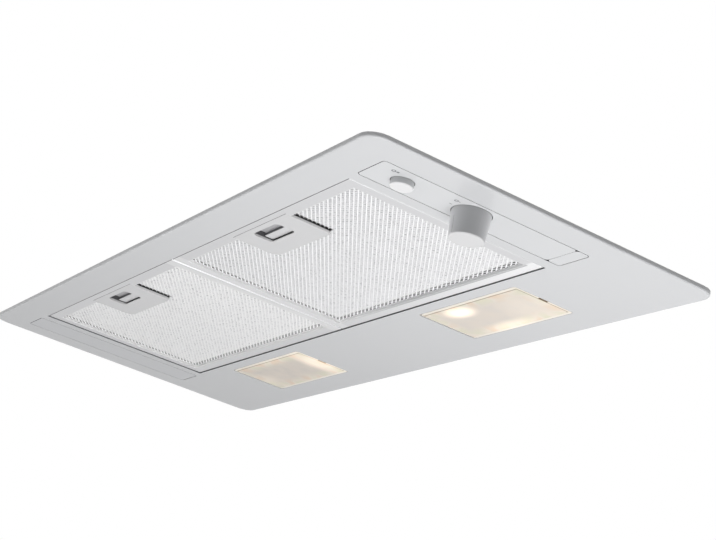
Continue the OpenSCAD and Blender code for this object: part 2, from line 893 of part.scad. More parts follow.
// Lamp cover: a frosted plate with a skirt, hinge barrel and pins at its -X
// end, and a finger notch with a snap clip at its +X end
module lens_cover(x) {
    y = lens_d / 2 - fit;
    hinge_y = y - lens_hinge_relief;
    pin_x = -lens_w / 2 + lens_hinge_in;
    end_x = lens_w / 2 - fit;
    skirt_top = panel_z + lens_t + lens_skirt_h;
    skirt_in = 3;
    snap_w = 8;
    snap_t = 1.2;
    color("linen") translate([x, lamp_y, 0]) difference() {
        union() {
            intersection() {
                union() {
                    block([pin_x + lens_hinge_r, -y, panel_z], [end_x, y, panel_z + lens_t]);
                    block([pin_x, -hinge_y, panel_z], [pin_x + 2 * lens_hinge_r, hinge_y, panel_z + lens_t]);
                    translate([pin_x, 0, lens_hinge_z]) rotate([90, 0, 0])
                        cylinder(r = lens_hinge_r, h = 2 * hinge_y, center = true);
                }
                rounded_plate(2 * end_x, 2 * y, strip_r - fit, panel_z - cut, 2 * lens_hinge_r + 2 * cut);
            }
            translate([pin_x, 0, lens_hinge_z]) rotate([90, 0, 0])
                cylinder(r = lens_pin_r, h = 2 * (y + lens_pin_l), center = true);
            for (s = [-1, 1])
                scale([1, s, 1]) block(
                    [pin_x + 2 * lens_hinge_r, y - lens_skirt_t - 1, panel_z],
                    [end_x - skirt_in, y - 1, skirt_top]
                );
            block([end_x - skirt_in - lens_skirt_t, -y + 1, panel_z], [end_x - skirt_in, y - 1, skirt_top]);
            block([end_x - skirt_in, -snap_w / 2, skirt_top - snap_t], [end_x + fit * 1.5, snap_w / 2, skirt_top]);
        }
        block([end_x - notch_d, -notch_w / 2, panel_z - cut], [end_x + cut, notch_w / 2, panel_z + lens_t + fit]);
    }
}

module lens_cover_left() {
    lens_cover(left_lamp_x);
}

module lens_cover_right() {
    lens_cover(right_lamp_x);
}

// Lamp holder at a housing's outer end. The side is 1 or -1 along X.
module lamp_holder(side) {
    end_x = lens_w / 2 + lamp_room;
    foot_t = 3;
    floor_t = 6;
    color("white") translate([layout_x + side * lamp_off, lamp_y, bulb_z]) scale([side, 1, 1]) difference() {
        union() {
            translate([end_x - holder_l, 0, 0]) rotate([0, 90, 0]) cylinder(r = holder_r, h = holder_l - foot_t);
            block([end_x - foot_t, -holder_r, -holder_r], [end_x, holder_r, holder_r]);
        }
        translate([end_x - holder_l - cut, 0, 0]) rotate([0, 90, 0]) cylinder(r = cap_r, h = holder_l + cut - floor_t);
    }
}

module lamp_holder_left() {
    lamp_holder(-1);
}

module lamp_holder_right() {
    lamp_holder(1);
}

// Candle bulb with its screw cap in the holder
module bulb(side) {
    cap_end = lens_w / 2 + lamp_room - 6;
    shoulder = lens_w / 2 + lamp_room - holder_l - 0.5;
    tip = shoulder - bulb_l;
    belly = shoulder - bulb_l * 0.42;
    color("lightyellow") translate([layout_x + side * lamp_off, lamp_y, bulb_z]) scale([side, 1, 1]) {
        translate([shoulder - 2, 0, 0]) rotate([0, 90, 0]) cylinder(r = cap_r, h = cap_end - shoulder + 2);
        translate([tip, 0, 0]) rotate([0, 90, 0]) rotate_extrude() intersection() {
            union() {
                translate([0, belly - tip]) circle(bulb_r);
                polygon([[0, 0], [3, 0.5], [bulb_r * 0.86, belly - tip - bulb_r * 0.5], [0, belly - tip]]);
                polygon([
                    [0, belly - tip], [bulb_r * 0.86, belly - tip + bulb_r * 0.5],
                    [cap_r, bulb_l], [0, bulb_l]
                ]);
            }
            square([bulb_r + 1, bulb_l]);
        }
    }
}

module bulb_left() {
    bulb(-1);
}

module bulb_right() {
    bulb(1);
}

// Outer side of the scroll's outlet, in Y
function scroll_out_y() = fan_y + scroll_r + 4 * scroll_step;

// Inside of the scroll in the Y-Z plane: three quarter arcs whose radius grows,
// then the straight outlet to the top of the motor box
module scroll_area(grow) {
    r1 = scroll_r + scroll_step + grow;
    r2 = scroll_r + 2 * scroll_step + grow;
    r3 = scroll_r + 3 * scroll_step + grow;
    far = 2 * scroll_r;
    translate([fan_y, fan_z]) {
        circle(scroll_r + grow);
        translate([0, -scroll_step]) intersection() {
            circle(r1);
            translate([-far, 0]) square([far, far]);
        }
        translate([scroll_step, -scroll_step]) intersection() {
            circle(r2);
            translate([-far, -far]) square([far, far]);
        }
        translate([scroll_step, 0]) intersection() {
            circle(r3);
            translate([0, -far]) square([far, far]);
        }
    }
    translate([fan_y + tongue_y - grow, fan_z])
        square([scroll_out_y() - fan_y - tongue_y + 2 * grow, box_top - box_t - fan_z]);
}

// One half of the scroll, whose side plate is at the side 1 or -1 along X
module scroll(side) {
    color("white") scale([side, 1, 1]) difference() {
        rotate([90, 0, 90]) linear_extrude(scroll_w / 2) intersection() {
            scroll_area(scroll_t);
            translate([-box_d, 0]) square([2 * box_d, box_top - box_t]);
        }
        translate([-cut, 0, 0]) rotate([90, 0, 90]) linear_extrude(scroll_w / 2 + cut - scroll_t) union() {
            scroll_area(0);
            translate([fan_y + tongue_y, box_top - box_t - cut])
                square([scroll_out_y() - fan_y - tongue_y, 2 * cut]);
        }
        translate([0, fan_y, fan_z]) rotate([0, 90, 0]) cylinder(r = inlet_r, h = scroll_w);
    }
}

module scroll_left() {
    scroll(-1);
}

module scroll_right() {
    scroll(1);
}

// Bell mouth on a scroll's side plate
module inlet_ring(side) {
    color("white") scale([side, 1, 1]) translate([scroll_w / 2, fan_y, fan_z]) rotate([0, 90, 0])
        rotate_extrude() difference() {
            translate([inlet_r, 0]) square([inlet_lip, inlet_lip - 2]);
            translate([inlet_r, inlet_lip - 2]) intersection() {
                circle(inlet_lip - 3);
                translate([0, -inlet_lip]) square(2 * inlet_lip);
            }
            translate([inlet_r + inlet_lip - 1.5, 1.5]) square(inlet_lip);
        }
}

module inlet_ring_left() {
    inlet_ring(-1);
}

module inlet_ring_right() {
    inlet_ring(1);
}

// One forward-curved blade in section, from the inner to the outer radius
module blade_section() {
    mid_r = wheel_r - blade_depth / 2;
    drop = sqrt(blade_bow * blade_bow - blade_depth * blade_depth / 4);
    translate([mid_r, -drop]) intersection() {
        difference() {
            circle(blade_bow + blade_t / 2);
            circle(blade_bow - blade_t / 2);
        }
        translate([-blade_depth / 2, drop - 1]) square([blade_depth, blade_bow]);
    }
}

module impeller() {
    color("lightgray") translate([0, fan_y, fan_z]) rotate([0, 90, 0]) difference() {
        union() {
            translate([0, 0, -wheel_w / 2]) linear_extrude(wheel_w)
                for (i = [0 : blade_count - 1]) rotate([0, 0, i * 360 / blade_count]) blade_section();
            for (z = [-wheel_w / 2, wheel_w / 2 - ring_t])
                translate([0, 0, z]) difference() {
                    cylinder(r = wheel_r + ring_over, h = ring_t);
                    translate([0, 0, -cut]) cylinder(r = wheel_r - blade_depth + 1, h = ring_t + 2 * cut);
                }
            translate([0, 0, -disc_t / 2]) cylinder(r = wheel_r + ring_over, h = disc_t);
            translate([0, 0, -hub_l + disc_t / 2]) cylinder(r = hub_r, h = hub_l);
        }
        cylinder(r = fan_shaft_r, h = wheel_w, center = true);
    }
}

module fan_shaft() {
    color("silver") translate([-hub_l - shaft_out, fan_y, fan_z]) rotate([0, 90, 0])
        cylinder(r = fan_shaft_r, h = hub_l + shaft_out + motor_x0 + motor_l - shaft_end);
}

module motor() {
    bell_h = 6;
    nose_r = 12;
    slot_w = 5;
    slot_d = 1.5;
    slot_in = 14;
    bell = [[0, 0], [nose_r, 0], [motor_r - bell_h, bell_h], [0, bell_h]];
    color("slategray") translate([motor_x0, fan_y, fan_z]) rotate([0, 90, 0]) difference() {
        union() {
            translate([0, 0, bell_h]) cylinder(r = motor_r, h = motor_l - 2 * bell_h);
            rotate_extrude() polygon(bell);
            translate([0, 0, motor_l]) mirror([0, 0, 1]) rotate_extrude() polygon(bell);
        }
        translate([0, 0, -cut]) cylinder(r = fan_shaft_r + fan_fit, h = motor_l + 3 * cut - shaft_end);
        for (a = [0 : 30 : 330])
            rotate([0, 0, a + 15]) translate([motor_r - slot_d, -slot_w / 2, slot_in])
                cube([slot_d + cut, slot_w, motor_l - 2 * slot_in]);
    }
}

// Three-armed bracket that holds the motor in the +X inlet
module motor_bracket() {
    arm_w = 12;
    foot_l = 8;
    seat_r = 24;
    reach = inlet_r + inlet_lip + foot_l;
    plate_x = scroll_w / 2 + inlet_lip - 2;
    color("silver") translate([0, fan_y, fan_z]) rotate([0, 90, 0]) {
        translate([0, 0, motor_x0 + motor_l]) cylinder(r = seat_r, h = plate_x - motor_x0 - motor_l + bracket_t);
        for (a = [60, 180, 300])
            rotate([0, 0, a]) {
                translate([0, -arm_w / 2, plate_x]) cube([reach, arm_w, bracket_t]);
                translate([reach - bracket_t, -arm_w / 2, scroll_w / 2])
                    cube([bracket_t, arm_w, plate_x - scroll_w / 2 + bracket_t]);
                translate([reach - bracket_t, -arm_w / 2, scroll_w / 2]) cube([foot_l, arm_w, bracket_t]);
            }
    }
}

module capacitor() {
    stud_l = 6;
    color("whitesmoke") translate([cap_x, cap_y, box_top - box_t - cap_body_r - 1]) rotate([0, 90, 0]) {
        cylinder(r = cap_body_r, h = cap_body_l);
        translate([0, 0, -stud_l]) cylinder(r = cap_body_r / 3, h = stud_l + 1);
    }
}

module capacitor_clip() {
    band_t = 1;
    band_r = cap_body_r + band_t;
    band_w = 12;
    ear_l = 12;
    mouth_w = 16;
    color("silver") translate([cap_x + band_w + stud_r * 4, cap_y, box_top - box_t]) rotate([0, 90, 0]) difference() {
        union() {
            translate([band_r, 0, 0]) cylinder(r = band_r, h = band_w);
            translate([0, -band_r, 0]) cube([band_r, 2 * band_r, band_w]);
            translate([0, -band_r - ear_l, 0]) cube([band_t, 2 * (band_r + ear_l), band_w]);
        }
        translate([band_r, 0, -cut]) cylinder(r = cap_body_r, h = band_w + 2 * cut);
        translate([band_r + cut, -mouth_w / 2, -cut]) cube([band_r, mouth_w, band_w + 2 * cut]);
    }
}

// Places of the screws round the collar's flange
function collar_points() = [
    for (a = [45 : 90 : 315])
        [collar_screw_ring * cos(a), duct_y + collar_screw_ring * sin(a), box_top + duct_t]
];

module duct_collar() {
    inner = duct_r - duct_t;
    color("darkslategray") translate([0, duct_y, 0]) difference() {
        union() {
            translate([0, 0, box_top]) difference() {
                union() {
                    cylinder(r = duct_r, h = duct_h);
                    cylinder(r = duct_r + duct_flange, h = duct_t);
                }
                translate([0, 0, -cut]) cylinder(r = inner, h = duct_h + 2 * cut);
            }
            translate([0, 0, flap_z - stop_h - seam - flap_t / 2]) difference() {
                cylinder(r = inner + duct_t / 3, h = stop_h);
                translate([0, 0, -cut]) cylinder(r = inner - stop_w, h = stop_h + 2 * cut);
            }
            intersection() {
                translate([0, 0, box_top]) cylinder(r = inner + duct_t / 3, h = duct_h);
                for (s = [-1, 1], y = [-flap_off, flap_off])
                    translate([s > 0 ? inner - boss_l : -inner - cut, y, flap_z])
                        rotate([0, 90, 0]) cylinder(r = boss_r, h = boss_l + cut);
            }
        }
        for (y = [-flap_off, flap_off])
            translate([0, y, flap_z]) rotate([0, 90, 0])
                cylinder(r = flap_pin_r + flap_pin_fit, h = 2 * (inner - flap_pin_in) + 1, center = true);
        for (p = collar_points())
            translate([p[0], p[1] - duct_y, box_top - cut]) cylinder(r = collar_screw_r, h = duct_t + 2 * cut);
    }
}

module collar_screws() {
    color("silver") screws(collar_points(), 2 * collar_screw_r, 1.6, collar_screw_r, duct_t + box_t + 1.5);
}

// Half-round flap that gravity closes. The side is 1 to the back, -1 to the front.
module damper_flap(side) {
    pin_l = 2 * (duct_r - duct_t - flap_pin_in);
    color("dimgray") translate([0, duct_y, flap_z]) scale([1, side, 1]) {
        difference() {
            translate([0, 0, -flap_t / 2]) cylinder(r = flap_r, h = flap_t);
            translate([-duct_r, -2 * duct_r + flap_off, -2]) cube([2 * duct_r, 2 * duct_r, 4]);
            for (s = [-1, 1])
                translate([s * (duct_r - duct_t - boss_l / 2), flap_off, 0])
                    cube([boss_l + 2, 2 * boss_r + 2, 6], center = true);
        }
        translate([0, flap_off, 0]) rotate([0, 90, 0])
            cylinder(r = flap_barrel_r, h = 2 * (duct_r - duct_t - boss_l) - 2, center = true);
        translate([0, flap_off, 0]) rotate([0, 90, 0]) cylinder(r = flap_pin_r, h = pin_l, center = true);
    }
}

module damper_flap_front() {
    damper_flap(-1);
}

module damper_flap_back() {
    damper_flap(1);
}

// Corners where the terminal cover is screwed down
function term_points() = [
    for (s = [[-1, -1], [1, 1]])
        [term_x + s[0] * (term_w / 2 - term_in), term_y + s[1] * (term_d / 2 - term_in), box_top + term_h + term_wall]
];

module terminal_box() {
    strip_half = 14;
    strip_d = 14;
    strip_h = 10;
    color("black") difference() {
        union() {
            difference() {
                translate([term_x, term_y, 0]) rounded_plate(term_w, term_d, term_r, box_top, term_h);
                translate([term_x, term_y, 0]) rounded_plate(
                    term_w - 2 * term_wall, term_d - 2 * term_wall, term_r - 1, box_top + term_wall, term_h
                );
            }
            for (p = term_points())
                translate([p[0], p[1], box_top]) cylinder(r = term_screw_r + 2.2, h = term_h);
            block(
                [term_x - strip_half - 2, term_y - strip_d / 2, box_top + term_wall],
                [term_x + strip_half - 2, term_y + strip_d / 2, box_top + term_wall + strip_h]
            );
        }
        translate([term_x + term_w / 2 - term_wall - cut, term_y, box_top + term_h / 2])
            rotate([0, 90, 0]) cylinder(r = gland_r - gland_thread, h = term_wall + 2 * cut);
        for (p = term_points())
            translate([p[0], p[1], box_top + term_h + term_wall - term_screw_l - cut])
                cylinder(r = term_screw_r, h = term_h);
    }
}

module terminal_cover() {
    color("dimgray") difference() {
        translate([term_x, term_y, 0]) rounded_plate(term_w, term_d, term_r, box_top + term_h, term_wall);
        for (p = term_points())
            translate([p[0], p[1], box_top + term_h - cut]) cylinder(r = term_screw_r, h = term_wall + 2 * cut);
    }
}

module terminal_screws() {
    color("silver") screws(term_points(), 2 * term_screw_r, 1.6, term_screw_r, term_screw_l);
}

module cable_gland() {
    color("black") translate([term_x + term_w / 2, term_y, box_top + term_h / 2]) rotate([0, 90, 0]) difference() {
        union() {
            translate([0, 0, -term_wall - nut_t]) cylinder(r = gland_r - gland_thread, h = gland_l);
            cylinder(r = gland_r, h = gland_hex_l);
            rotate_extrude()
                polygon([[0, gland_hex_l], [gland_r - 1, gland_hex_l], [gland_r - 2.5, gland_l], [0, gland_l]]);
        }
        translate([0, 0, -term_wall - nut_t - cut]) cylinder(r = cable_r, h = term_wall + nut_t + gland_l + 2 * cut);
    }
}

module gland_nut() {
    color("black") translate([term_x + term_w / 2 - term_wall - nut_t, term_y, box_top + term_h / 2])
        rotate([0, 90, 0]) difference() {
            cylinder(r = gland_r, h = nut_t, $fn = 6);
            translate([0, 0, -cut]) cylinder(r = gland_r - gland_thread, h = nut_t + 2 * cut);
        }
}

bottom_panel();
lower_frame();
motor_box();
panel_nuts();
box_screws();
cabinet_clips();
control_strip();
control_strip_end();
blank_strip();
control_box();
rotary_switch();
light_switch();
speed_knob();
knob_shaft();
light_button();
filter_frame_left();
filter_frame_right();
filter_mesh_left();
filter_mesh_right();
filter_core_left();
filter_core_right();
handle_plate_left();
handle_plate_right();
latch_left();
latch_right();
lamp_housing_left();
lamp_housing_right();
lamp_holder_left();
lamp_holder_right();
bulb_left();
bulb_right();
lens_cover_left();
lens_cover_right();
scroll_left();
scroll_right();
inlet_ring_left();
inlet_ring_right();
impeller();
fan_shaft();
motor();
motor_bracket();
capacitor();
capacitor_clip();
duct_collar();
collar_screws();
damper_flap_front();
damper_flap_back();
terminal_box();
terminal_cover();
terminal_screws();
cable_gland();
gland_nut();
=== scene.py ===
import math

import bmesh
import bpy
from mathutils import Matrix, Vector


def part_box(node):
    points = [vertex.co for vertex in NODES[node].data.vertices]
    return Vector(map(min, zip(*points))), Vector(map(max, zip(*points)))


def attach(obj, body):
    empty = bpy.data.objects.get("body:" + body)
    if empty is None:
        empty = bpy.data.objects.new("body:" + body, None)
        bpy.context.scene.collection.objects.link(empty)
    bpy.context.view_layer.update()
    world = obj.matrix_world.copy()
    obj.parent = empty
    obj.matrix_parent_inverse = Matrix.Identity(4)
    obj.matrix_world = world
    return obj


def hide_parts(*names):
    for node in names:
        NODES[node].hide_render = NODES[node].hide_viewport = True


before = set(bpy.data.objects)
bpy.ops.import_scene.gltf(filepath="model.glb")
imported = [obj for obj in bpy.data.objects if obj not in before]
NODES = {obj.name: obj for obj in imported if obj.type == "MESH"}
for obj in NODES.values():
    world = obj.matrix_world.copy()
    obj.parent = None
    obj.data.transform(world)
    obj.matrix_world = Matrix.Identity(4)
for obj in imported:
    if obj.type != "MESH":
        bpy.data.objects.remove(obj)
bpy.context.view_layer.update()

MM = 0.001
WHITE = "#ffffff"

# Camera: below the hood at its control end, looking up along the panel
CAMERA_PLACE = Vector((1.1673, -0.5478, -0.4156))
CAMERA_AIM = Vector((0.1398, -0.0206, -0.0035))
CAMERA_ROLL = math.radians(13.4)
CAMERA_LENS = 80.95
CAMERA_REACH = 20

# Lamps: place, the point that they face, width in metres, watts
LAMPS = {
    "key": ((0.65, 0.0, -1.0), (0.35, 0, 0), 1.0, 8.1),
    "front": ((0.2, -1.6, -0.5), (0.1, 0, 0), 0.8, 2.2),
}

# Room: light from all round, which gets weaker as a direction turns towards the dark side, at
# the control end; in gloss the room is lighter and gets weaker later
ROOM_DARK_SIDE = Vector((0.995, -0.1, 0.0))
ROOM_TURN = (-0.1, 0.8)
ROOM_LEVELS = (0.75, 0.06)
GLOSS_TURN = (0.2, 0.9)
GLOSS_LEVELS = (1.0, 0.25)

# Floor: its height, half its width, and its glow in gloss, which grows along X
FLOOR_Z = -2.9
FLOOR_HALF = 14
FLOOR_GLOW_X = (-12.0, -4.0)
FLOOR_GLOW = (0.27, 1.0)

# Cabinet board above the flange, in metres: half its size, its height and thickness, and its
# clearance round the casing
BOARD_X = 0.72
BOARD_Y = 0.45
BOARD_Z = 0.0003
BOARD_T = 0.016
BOARD_ROOM = 0.001

# Heights of the panel's underside and of the handle plates' faces
PANEL_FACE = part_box("bottom_panel")[0].z
PLATE_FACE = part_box("handle_plate_left")[0].z


# Building blocks of a material
def new_material(name, rough, metallic=0.0):
    material = bpy.data.materials.new(name)
    material.use_nodes = True
    tree = material.node_tree
    shader = tree.nodes["Principled BSDF"]
    shader.inputs["Roughness"].default_value = rough
    shader.inputs["Metallic"].default_value = metallic
    return material, tree, shader


def add(tree, kind, settings=None, inputs=None):
    """Adds a node with its settings, and links or sets its inputs."""
    node = tree.nodes.new(kind)
    for key, value in (settings or {}).items():
        setattr(node, key, value)
    for key, value in (inputs or {}).items():
        if isinstance(value, bpy.types.NodeSocket):
            tree.links.new(value, node.inputs[key])
        else:
            node.inputs[key].default_value = value
    return node


def number_math(tree, operation, *values):
    return add(tree, "ShaderNodeMath", {"operation": operation}, dict(enumerate(values))).outputs[0]


def vector_math(tree, operation, *values):
    return add(tree, "ShaderNodeVectorMath", {"operation": operation}, dict(enumerate(values))).outputs


def both_of(tree, first, second):
    return number_math(tree, "MULTIPLY", first, second)


def more_of(tree, first, second):
    return number_math(tree, "MAXIMUM", first, second)


def ramp(tree, value, span, levels=(0.0, 1.0), shape="LINEAR"):
    """Goes from one level to the other while the value crosses a span, and stays level outside."""
    return add(tree, "ShaderNodeMapRange", {"interpolation_type": shape},
               {"Value": value, "From Min": span[0], "From Max": span[1],
                "To Min": levels[0], "To Max": levels[1]}).outputs[0]


def past(tree, value, edge, start_mm, end_mm):
    """0 up to one distance past an edge, 1 from the other distance on."""
    return ramp(tree, value, (edge + start_mm * MM, edge + end_mm * MM))


def object_place(tree, stretch=(1, 1, 1)):
    """Object coordinates in metres, stretched by a scale."""
    place = add(tree, "ShaderNodeTexCoord").outputs["Object"]
    return add(tree, "ShaderNodeMapping", None, {"Vector": place, "Scale": stretch}).outputs["Vector"]


def place_of(tree):
    """X, Y and Z of a point, in metres."""
    parts = add(tree, "ShaderNodeSeparateXYZ", None, {0: object_place(tree)}).outputs
    return parts["X"], parts["Y"], parts["Z"]


def past_rectangle(tree, middle, half):
    """How far a point lies outside a rectangle in plan; less than nothing inside it."""
    away = vector_math(tree, "SUBTRACT", object_place(tree), middle)[0]
    away = vector_math(tree, "ABSOLUTE", away)[0]
    away = vector_math(tree, "SUBTRACT", away, half)[0]
    parts = add(tree, "ShaderNodeSeparateXYZ", None, {0: away}).outputs
    return more_of(tree, parts["X"], parts["Y"])


def noise(tree, size_mm, detail=2.0, rough=0.5, stretch=(1, 1, 1)):
    """Cloudy noise with lumps of a real size."""
    return add(tree, "ShaderNodeTexNoise", None,
               {"Vector": object_place(tree, stretch), "Scale": 1 / (size_mm * MM),
                "Detail": detail, "Roughness": rough}).outputs["Fac"]


def cells(tree, size_mm, feature, randomness):
    """Pattern of cells of a real size."""
    return add(tree, "ShaderNodeTexVoronoi", {"feature": feature},
               {"Vector": object_place(tree), "Scale": 1 / (size_mm * MM),
                "Randomness": randomness}).outputs


def linear(hex_colour, share=1.0):
    """sRGB hex, or a share of its light, to the linear colour that shaders take."""
    parts = [int(hex_colour[i:i + 2], 16) / 255 for i in (1, 3, 5)]
    return [share * (c / 12.92 if c <= 0.04045 else ((c + 0.055) / 1.055) ** 2.4) for c in parts] + [1.0]


def blend(tree, factor, first, second):
    """Mixes two colours, each a socket, a linear colour or an sRGB hex."""
    pair = [linear(c) if isinstance(c, str) else c for c in (first, second)]
    return add(tree, "ShaderNodeMix", {"data_type": "RGBA"},
               {"Factor": factor, "A": pair[0], "B": pair[1]}).outputs["Result"]


def mottled(tree, factor, hex_colour):
    """A colour with faint darker patches."""
    return blend(tree, factor, linear(hex_colour, 0.97), hex_colour)


def colour_ramp(tree, factor, stops):
    node = add(tree, "ShaderNodeValToRGB", None, {"Fac": factor})
    elements = node.color_ramp.elements
    while len(elements) < len(stops):
        elements.new(0.5)
    for element, (position, colour) in zip(elements, stops):
        element.position = position
        element.color = linear(colour)
    return node.outputs["Color"]


def recolour(material, change):
    """Runs the base colour through one more layer."""
    tree = material.node_tree
    base = tree.nodes["Principled BSDF"].inputs["Base Color"]
    tree.links.new(change(tree, base.links[0].from_socket), base)
    return material


def bump(tree, shader, height, depth_mm, strength):
    relief = add(tree, "ShaderNodeBump", None,
                 {"Height": height, "Distance": depth_mm * MM, "Strength": strength})
    tree.links.new(relief.outputs["Normal"], shader.inputs["Normal"])


def middle_and_half(node):
    """Middle of a node's box and half its size."""
    low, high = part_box(node)
    return (low + high) / 2, (high - low) / 2


# Enamel and plastic; distances in a call of past are in mm
def satin_enamel(name, hex_colour, rough):
    """Sprayed satin enamel on steel: a soft sheen over a very fine orange peel."""
    material, tree, shader = new_material(name, rough)
    cloud = noise(tree, 90)
    peel = noise(tree, 1.2)
    tree.links.new(mottled(tree, cloud, hex_colour), shader.inputs["Base Color"])
    bump(tree, shader, peel, 0.006, 0.25)
    return material


def moulded_abs(name, hex_colour, rough, grain_mm=0.6):
    """Injection-moulded ABS: a fine spark-eroded grain that breaks up its sheen."""
    material, tree, shader = new_material(name, rough)
    grain = noise(tree, grain_mm, 3.0, 0.6)
    tree.links.new(mottled(tree, grain, hex_colour), shader.inputs["Base Color"])
    bump(tree, shader, grain, 0.03, 0.3)
    return material


def panel_enamel(name, hex_colour, rough):
    """The panel's enamel, with painted shade on the cut edges of the filters' and strips' openings.

    The painted shade is paler on the cut edges at the filters' back and far end, which lie towards the light."""
    middle, half = middle_and_half("bottom_panel")
    windows_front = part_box("lens_cover_left")[0].y
    filters_low, filters_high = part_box("filter_frame_left")

    def cut_edges(tree, colour):
        x, y, z = place_of(tree)
        in_sheet = both_of(tree, past(tree, z, PANEL_FACE, 0.02, 0.12),
                           past(tree, z, PANEL_FACE, 0.97, 0.92))
        inside_rim = past(tree, past_rectangle(tree, middle, half), 0, -12, -13)
        before_windows = past(tree, y, windows_front, -3, -4)
        paler_painted_shade = more_of(tree, past(tree, y, filters_high.y, -6, -4), past(tree, x, filters_low.x, 6, 4))
        shaded = both_of(tree, both_of(tree, in_sheet, inside_rim), before_windows)
        # Painted shade on the cut edges, paler at the filters' back and far end
        return blend(tree, shaded, colour, blend(tree, paler_painted_shade, "#3c3d40", "#7c7d80"))

    return recolour(satin_enamel(name, hex_colour, rough), cut_edges)


def strip_abs(name, hex_colour, rough):
    """The strips' ABS, with painted shade in the joint round each strip."""
    def joint(tree, colour):
        height = place_of(tree)[2]
        # Painted shade in the joint round the strip
        return blend(tree, past(tree, height, PANEL_FACE, 0.02, 0.15), colour, "#2c2d30")

    return recolour(moulded_abs(name, hex_colour, rough), joint)


def knob_abs(name, node, side_painted_shade, side_painted_sheen, face):
    """Painted light on a control: its side is painted darker, with a painted sheen towards its outline,
    and its end face is painted lighter.
    """
    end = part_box(node)[0].z

    def turned(tree, colour):
        # Painted sheen on the side, lighter towards its outline; the end face is painted lighter
        glance = add(tree, "ShaderNodeLayerWeight", None, {"Blend": 0.5}).outputs["Facing"]
        side = blend(tree, glance, side_painted_shade, side_painted_sheen)
        return blend(tree, past(tree, place_of(tree)[2], end, 1.0, 0.6), side, face)

    return recolour(moulded_abs(name, face, 0.34), turned)


def handle_abs(name, hex_colour, side):
    """A handle plate: painted shade in the pocket and in the joint at its front, and most of all
    behind its end, where the gap to the mesh is."""
    low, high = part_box(f"handle_plate_{side}")

    def behind(tree, colour):
        x, y, z = place_of(tree)
        # Painted shade: the joint at the front, then the pocket, darkest behind the plate's end
        colour = blend(tree, past(tree, y, low.y, 0.7, 0.3), colour, "#6c6d6f")
        shade = blend(tree, past(tree, x, high.x, -3, -2), "#58585a", "#1e1e20")
        return blend(tree, past(tree, z, PLATE_FACE, 1.4, 1.8), colour, shade)

    return recolour(moulded_abs(name, hex_colour, 0.45), behind)


def latch_abs(name, hex_colour):
    """A latch: its bar keeps its own light grey, and the hollow above the finger has painted shade."""
    def hollow(tree, colour):
        height = place_of(tree)[2]
        # Painted shade on the hollow's wall, paler on its roof
        wall = blend(tree, past(tree, height, PLATE_FACE, 2.5, 2.9), colour, "#59595b")
        return blend(tree, past(tree, height, PLATE_FACE, 4.4, 4.9), wall, "#b2b2b4")

    return recolour(moulded_abs(name, hex_colour, 0.45), hollow)


# Metal
def rolled_aluminium(name, hex_colour, rough, stretch=(1, 1, 1), metallic=1.0):
    """Rolled aluminium sheet: fine drawn lines along the mill direction."""
    material, tree, shader = new_material(name, rough, metallic)
    lines = noise(tree, 0.8, stretch=stretch)
    tone = colour_ramp(tree, lines, [(0.3, hex_colour), (0.7, WHITE)])
    tree.links.new(blend(tree, 0.12, hex_colour, tone), shader.inputs["Base Color"])
    bump(tree, shader, lines, 0.02, 0.3)
    return material


# Sheet and rail of a filter's frame
FRAME_SHEET = 0.8 * MM
FRAME_RAIL = 10.5 * MM
# Stretches along X, in metres: towards the control end the back rails get a painted highlight,
# less metal and painted shade in their fold, and the painted shade in the frames' end joints
# is darkest at the far end
RAIL_LIGHT_X = (-0.05, 0.25)
RAIL_LESS_METALLIC_X = (0.02, 0.3)
RAIL_FOLD_SHADE_X = (0.02, 0.12)
END_JOINT_X = (-0.25, -0.2)
# Longer than any filter, so that a rectangle with it has no edge that way
NO_EDGE = 1


def frame_aluminium(name, side):
    """A filter's frame: painted shade in the joint round it, a soft painted highlight on its inner bead.

    The rails that meet at the seam, and the back rail's control end, get a painted highlight, and
    that rail is less metallic there, but the fold at its inner side gets painted shade."""
    middle, half = middle_and_half(f"filter_core_{side}")
    half = half + Vector((FRAME_SHEET, FRAME_SHEET, 0))
    ends_alone = Vector((half.x, NO_EDGE, 0))
    long_sides_alone = Vector((NO_EDGE, half.y, 0))

    def edges(tree, colour):
        x, y = place_of(tree)[:2]
        reach = past_rectangle(tree, middle, half)
        back_rail = past(tree, y, middle.y + half.y - FRAME_RAIL, -1, 1)
        seam_rails = past(tree, number_math(tree, "ABSOLUTE", x), 0, 14, 12)
        # Painted highlight on the back rail towards the control end and on the rails at the seam
        light = more_of(tree, both_of(tree, back_rail, ramp(tree, x, RAIL_LIGHT_X)), seam_rails)
        colour = blend(tree, light, colour, "#f8f8f9")
        # Painted highlight on the inner bead
        colour = blend(tree, past(tree, reach, -FRAME_RAIL, 0.5, 0.1), colour, WHITE)
        # Painted shade in the back rail's fold
        fold_shade = both_of(tree, both_of(tree, back_rail, ramp(tree, x, RAIL_FOLD_SHADE_X)),
                       past(tree, reach, -FRAME_RAIL, 2.3, 1.6))
        colour = blend(tree, fold_shade, colour, "#bfc0c2")
        # The back rail is less metallic towards the control end
        less_metallic = both_of(tree, back_rail, ramp(tree, x, RAIL_LESS_METALLIC_X))
        tree.links.new(ramp(tree, less_metallic, (0, 1), (1.0, 0.35)),
                       tree.nodes["Principled BSDF"].inputs["Metallic"])
        # Painted shade in the joints round the frame: darkest at the far end's joint, paler along the back
        end_joint = past(tree, past_rectangle(tree, middle, ends_alone), 0, -0.9, -0.4)
        end_shade = blend(tree, ramp(tree, x, END_JOINT_X), "#58595b", "#b4b5b7")
        side_joint = past(tree, past_rectangle(tree, middle, long_sides_alone), 0, -1.1, -0.6)
        side_shade = blend(tree, back_rail, "#48494b", "#7c7d7f")
        return blend(tree, side_joint, blend(tree, end_joint, colour, end_shade), side_shade)

    return recolour(rolled_aluminium(name, "#e9e9eb", 0.3, (1, 0.05, 1)), edges)


